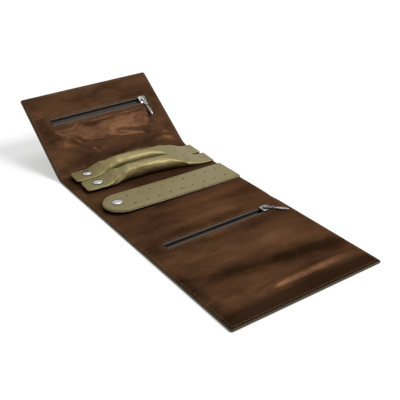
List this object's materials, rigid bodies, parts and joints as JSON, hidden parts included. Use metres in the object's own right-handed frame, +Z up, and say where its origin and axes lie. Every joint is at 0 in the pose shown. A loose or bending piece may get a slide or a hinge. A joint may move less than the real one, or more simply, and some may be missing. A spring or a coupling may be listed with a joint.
{
  "type": "jewelry folder",
  "caption": "Folding leather jewelry folder, lying open, with satin lining, padded ring rolls, an earring strap with snaps and zip pockets in its flap and lower panel.",
  "frame": {"origin": "middle of the centre panel's underside, on the table", "axes": "+Z up from the table; +Y along the folder from the lower panel towards the flap; +X to the side where the straps are sewn in"},
  "size_m": [0.184, 0.4597, 0.0778],
  "materials": {
    "cover_leather": "olive, fine grain",
    "strap_leather": "olive, soft sheen",
    "lining_satin": "brown satin with a copper sheen",
    "board": "bonded leather board",
    "zip_tape": "dark taupe weave",
    "zip_teeth": "dark nylon",
    "nickel": "nickel plated",
    "padding": "felt padding",
    "magnet": "plain"
  },
  "bodies": {
    "centre_panel": {"centre_cover": "cover_leather", "centre_board": "board", "centre_lining": "lining_satin", "earring_snap_post": "nickel", "earring_snap_stud": "nickel", "ring_roll_1_snap_post": "nickel", "ring_roll_1_snap_stud": "nickel", "ring_roll_2_snap_post": "nickel", "ring_roll_2_snap_stud": "nickel", "earring_strap_sewn_end": "strap_leather", "ring_roll_1_sewn_end": "strap_leather", "ring_roll_2_sewn_end": "strap_leather"},
    "upper_fold": {"upper_fold_cover": "cover_leather", "upper_fold_lining": "lining_satin"},
    "flap": {"flap_cover": "cover_leather", "flap_board": "board", "closure_keeper_1": "magnet", "closure_keeper_2": "magnet", "flap_lining": "lining_satin", "flap_pocket_back": "lining_satin", "flap_zip_tape_upper": "zip_tape", "flap_zip_tape_lower": "zip_tape", "flap_zip_teeth_upper": "zip_teeth", "flap_zip_teeth_lower": "zip_teeth", "flap_zip_stop_left": "nickel", "flap_zip_stop_right": "nickel"},
    "flap_slider": {"flap_zip_slider": "nickel"},
    "flap_link": {"flap_zip_link": "nickel"},
    "flap_pull": {"flap_zip_pull": "nickel"},
    "lower_fold": {"lower_fold_cover": "cover_leather", "lower_fold_lining": "lining_satin"},
    "lower_panel": {"lower_cover": "cover_leather", "lower_board": "board", "closure_magnet_1": "magnet", "closure_magnet_2": "magnet", "lower_lining": "lining_satin", "lower_pocket_back": "lining_satin", "lower_zip_tape_upper": "zip_tape", "lower_zip_tape_lower": "zip_tape", "lower_zip_teeth_upper": "zip_teeth", "lower_zip_teeth_lower": "zip_teeth", "lower_zip_stop_left": "nickel", "lower_zip_stop_right": "nickel"},
    "lower_slider": {"lower_zip_slider": "nickel"},
    "lower_link": {"lower_zip_link": "nickel"},
    "lower_pull": {"lower_zip_pull": "nickel"},
    "earring_strap": {"earring_strap_top": "strap_leather", "earring_strap_backing": "strap_leather", "earring_snap_cap": "nickel", "earring_snap_socket": "nickel"},
    "ring_roll_1": {"ring_roll_1_cover": "strap_leather", "ring_roll_1_core": "padding", "ring_roll_1_snap_cap": "nickel", "ring_roll_1_snap_socket": "nickel"},
    "ring_roll_2": {"ring_roll_2_cover": "strap_leather", "ring_roll_2_core": "padding", "ring_roll_2_snap_cap": "nickel", "ring_roll_2_snap_socket": "nickel"}
  },
  "joints": [
    {"name": "upper_fold_crease", "type": "hinge", "parent": "centre_panel", "child": "upper_fold", "pos_m": [0, 0.082, 0.0031], "axis": [-1, 0, 0], "range_deg": [-53, 37]},
    {"name": "flap_crease", "type": "hinge", "parent": "upper_fold", "child": "flap", "pos_m": [0, 0.10676, 0.02176], "axis": [-1, 0, 0], "range_deg": [-90, 0]},
    {"name": "lower_fold_crease", "type": "hinge", "parent": "centre_panel", "child": "lower_fold", "pos_m": [0, -0.082, 0.0031], "axis": [1, 0, 0], "range_deg": [-90, 0]},
    {"name": "lower_panel_crease", "type": "hinge", "parent": "lower_fold", "child": "lower_panel", "pos_m": [0, -0.118, 0.0031], "axis": [1, 0, 0], "range_deg": [-90, 0]},
    {"name": "earring_strap_lift", "type": "hinge", "parent": "centre_panel", "child": "earring_strap", "pos_m": [0.084, -0.0233, 0.0056], "axis": [0, 1, 0], "range_deg": [0, 100]},
    {"name": "ring_roll_1_lift", "type": "hinge", "parent": "centre_panel", "child": "ring_roll_1", "pos_m": [0.084, 0.0562, 0.0058], "axis": [0.0628, 0.998, 0], "range_deg": [0, 100]},
    {"name": "ring_roll_2_lift", "type": "hinge", "parent": "centre_panel", "child": "ring_roll_2", "pos_m": [0.084, 0.024, 0.0058], "axis": [0.0802, 0.9968, 0], "range_deg": [0, 100]},
    {"name": "flap_zip_run", "type": "slide", "parent": "flap", "child": "flap_slider", "axis": [1, 0, 0], "range_m": [-0.1266, 0]},
    {"name": "flap_link_swivel", "type": "hinge", "parent": "flap_slider", "child": "flap_link", "pos_m": [0.0638, 0.14079, 0.05385], "axis": [0, -0.6018, 0.7986], "continuous": true},
    {"name": "flap_pull_lift", "type": "hinge", "parent": "flap_link", "child": "flap_pull", "pos_m": [0.0647, 0.13228, 0.05094], "axis": [-0.9945, -0.0835, -0.0629], "range_deg": [0, 130]},
    {"name": "lower_zip_run", "type": "slide", "parent": "lower_panel", "child": "lower_slider", "axis": [1, 0, 0], "range_m": [-0.1228, 0.0038]},
    {"name": "lower_link_swivel", "type": "hinge", "parent": "lower_slider", "child": "lower_link", "pos_m": [0.06, -0.1325, 0.00685], "axis": [0, 0, -1], "continuous": true},
    {"name": "lower_pull_lift", "type": "hinge", "parent": "lower_link", "child": "lower_pull", "pos_m": [0.06639, -0.13825, 0.00965], "axis": [-0.6691, -0.7431, 0], "range_deg": [0, 130]}
  ]
}
